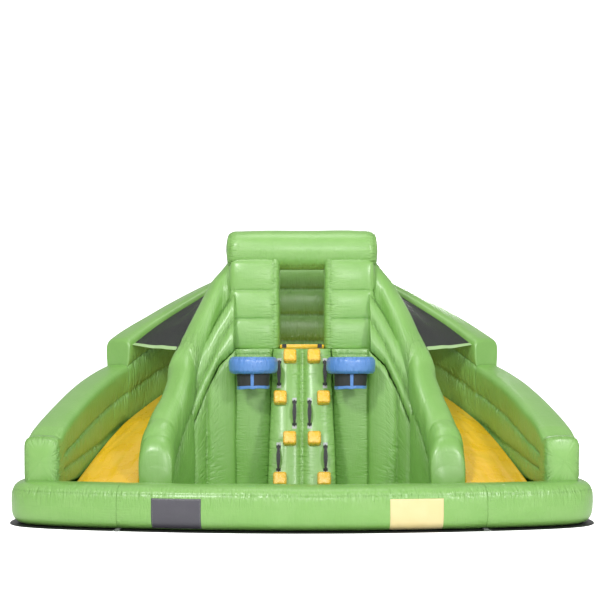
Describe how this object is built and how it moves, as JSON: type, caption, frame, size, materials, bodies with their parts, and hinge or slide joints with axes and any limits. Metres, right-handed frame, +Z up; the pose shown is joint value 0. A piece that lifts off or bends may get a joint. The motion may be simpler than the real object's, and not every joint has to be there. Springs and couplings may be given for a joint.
{
  "type": "inflatable water slide",
  "caption": "Inflatable garden water slide: front climbing wall up to a covered platform, curved netted chutes down either side, ball hoops and a wide splash pool at the foot.",
  "frame": {"origin": "centre of the footprint, on the ground under the ground sheet", "axes": "+X to the right as seen from the pool in front, +Y from the pool back to the back wall, +Z up"},
  "size_m": [6.0324, 3.8301, 3.2],
  "materials": {
    "green_coated_fabric": "glossy coated fabric with fine weave",
    "yellow_coated_fabric": "glossy coated fabric",
    "blue_coated_fabric": "glossy coated fabric",
    "black_webbing": "woven webbing",
    "black_net": "fine mesh",
    "ground_sheet_plastic": "matt sheet",
    "bare_steel": "satin"
  },
  "bodies": {
    "slide": {"pool_floor": "green_coated_fabric", "pool_front_wall": "green_coated_fabric", "back_base_tube": "green_coated_fabric", "climbing_wall": "green_coated_fabric", "top_beam": "green_coated_fabric", "back_wall": "green_coated_fabric", "platform_core": "green_coated_fabric", "blower_sleeve": "green_coated_fabric", "pool_corner_left": "green_coated_fabric", "side_base_tube_left": "green_coated_fabric", "hoop_pillar_left": "green_coated_fabric", "tower_left": "green_coated_fabric", "wing_wall_left": "green_coated_fabric", "wing_tubes_left": "green_coated_fabric", "bay_wall_left": "green_coated_fabric", "outer_wall_lower_left": "green_coated_fabric", "outer_wall_upper_left": "green_coated_fabric", "slide_bed_left": "green_coated_fabric", "pool_corner_right": "green_coated_fabric", "side_base_tube_right": "green_coated_fabric", "hoop_pillar_right": "green_coated_fabric", "tower_right": "green_coated_fabric", "wing_wall_right": "green_coated_fabric", "wing_tubes_right": "green_coated_fabric", "bay_wall_right": "green_coated_fabric", "outer_wall_lower_right": "green_coated_fabric", "outer_wall_upper_right": "green_coated_fabric", "slide_bed_right": "green_coated_fabric", "platform_mat": "yellow_coated_fabric", "slide_surface_left": "yellow_coated_fabric", "climbing_hold_left_1": "yellow_coated_fabric", "climbing_hold_left_2": "yellow_coated_fabric", "climbing_hold_left_3": "yellow_coated_fabric", "climbing_hold_left_4": "yellow_coated_fabric", "slide_surface_right": "yellow_coated_fabric", "climbing_hold_right_1": "yellow_coated_fabric", "climbing_hold_right_2": "yellow_coated_fabric", "climbing_hold_right_3": "yellow_coated_fabric", "climbing_hold_right_4": "yellow_coated_fabric", "hoop_ring_left": "blue_coated_fabric", "hoop_ring_right": "blue_coated_fabric", "zip_tape": "black_webbing", "lip_strap_left": "black_webbing", "chute_net_left": "black_net", "hoop_net_left": "black_net", "anchor_tab_left": "black_webbing", "lip_strap_right": "black_webbing", "chute_net_right": "black_net", "hoop_net_right": "black_net", "anchor_tab_right": "black_webbing", "ground_sheet": "ground_sheet_plastic"},
    "handle_left_1": {"wall_handle_left_1": "black_webbing"},
    "handle_left_2": {"wall_handle_left_2": "black_webbing"},
    "handle_left_3": {"wall_handle_left_3": "black_webbing"},
    "ring_left": {"anchor_ring_left": "bare_steel"},
    "handle_right_1": {"wall_handle_right_1": "black_webbing"},
    "handle_right_2": {"wall_handle_right_2": "black_webbing"},
    "handle_right_3": {"wall_handle_right_3": "black_webbing"},
    "ring_right": {"anchor_ring_right": "bare_steel"},
    "slider": {"zip_slider": "bare_steel"}
  },
  "joints": [
    {"name": "handle_left_1_flop", "type": "hinge", "parent": "slide", "child": "handle_left_1", "pos_m": [-0.262, -0.05659, 1.52192], "axis": [0, 0.2996, 0.9541], "range_deg": [-50, 50]},
    {"name": "handle_left_2_flop", "type": "hinge", "parent": "slide", "child": "handle_left_2", "pos_m": [-0.085, -0.20192, 1.07177], "axis": [0, 0.2913, 0.9566], "range_deg": [-50, 50]},
    {"name": "handle_left_3_flop", "type": "hinge", "parent": "slide", "child": "handle_left_3", "pos_m": [-0.262, -0.35267, 0.57689], "axis": [0, 0.2985, 0.9544], "range_deg": [-50, 50]},
    {"name": "ring_left_lift", "type": "hinge", "parent": "slide", "child": "ring_left", "pos_m": [-1.80107, -1.80401, 0.0153], "axis": [-1, 0, 0], "range_deg": [0, 85]},
    {"name": "handle_right_1_flop", "type": "hinge", "parent": "slide", "child": "handle_right_1", "pos_m": [0.262, -0.05659, 1.52192], "axis": [0, 0.2996, 0.9541], "range_deg": [-50, 50]},
    {"name": "handle_right_2_flop", "type": "hinge", "parent": "slide", "child": "handle_right_2", "pos_m": [0.085, -0.20192, 1.07177], "axis": [0, 0.2913, 0.9566], "range_deg": [-50, 50]},
    {"name": "handle_right_3_flop", "type": "hinge", "parent": "slide", "child": "handle_right_3", "pos_m": [0.262, -0.35267, 0.57689], "axis": [0, 0.2985, 0.9544], "range_deg": [-50, 50]},
    {"name": "ring_right_lift", "type": "hinge", "parent": "slide", "child": "ring_right", "pos_m": [1.80107, -1.80401, 0.0153], "axis": [-1, 0, 0], "range_deg": [0, 85]},
    {"name": "zip_slide", "type": "slide", "parent": "slide", "child": "slider", "axis": [1, 0, 0], "range_m": [0, 0.686]}
  ]
}
